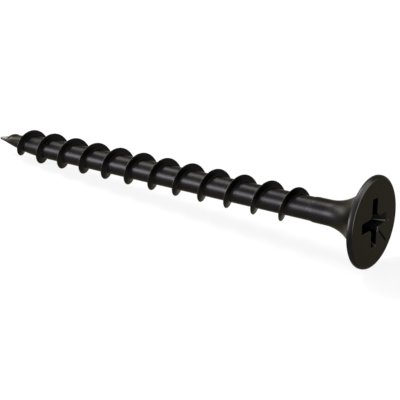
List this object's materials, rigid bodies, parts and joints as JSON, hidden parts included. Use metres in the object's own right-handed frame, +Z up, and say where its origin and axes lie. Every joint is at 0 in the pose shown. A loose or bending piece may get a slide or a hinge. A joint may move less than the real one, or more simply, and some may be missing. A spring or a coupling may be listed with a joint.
{
  "type": "drywall screw",
  "caption": "Black coarse-thread drywall screw with a bugle head, a cross recess and a sharp point, lying on its side.",
  "frame": {"origin": "centre of the bounding box's bottom face, on the surface that the screw lies on", "axes": "+Z up, +X along the floor under the screw from its point to its head"},
  "size_m": [0.0452, 0.0082, 0.0081],
  "materials": {
    "black_phosphate": "black phosphate coating, satin"
  },
  "bodies": {
    "root": {"drywall_screw": "black_phosphate"}
  },
  "joints": []
}
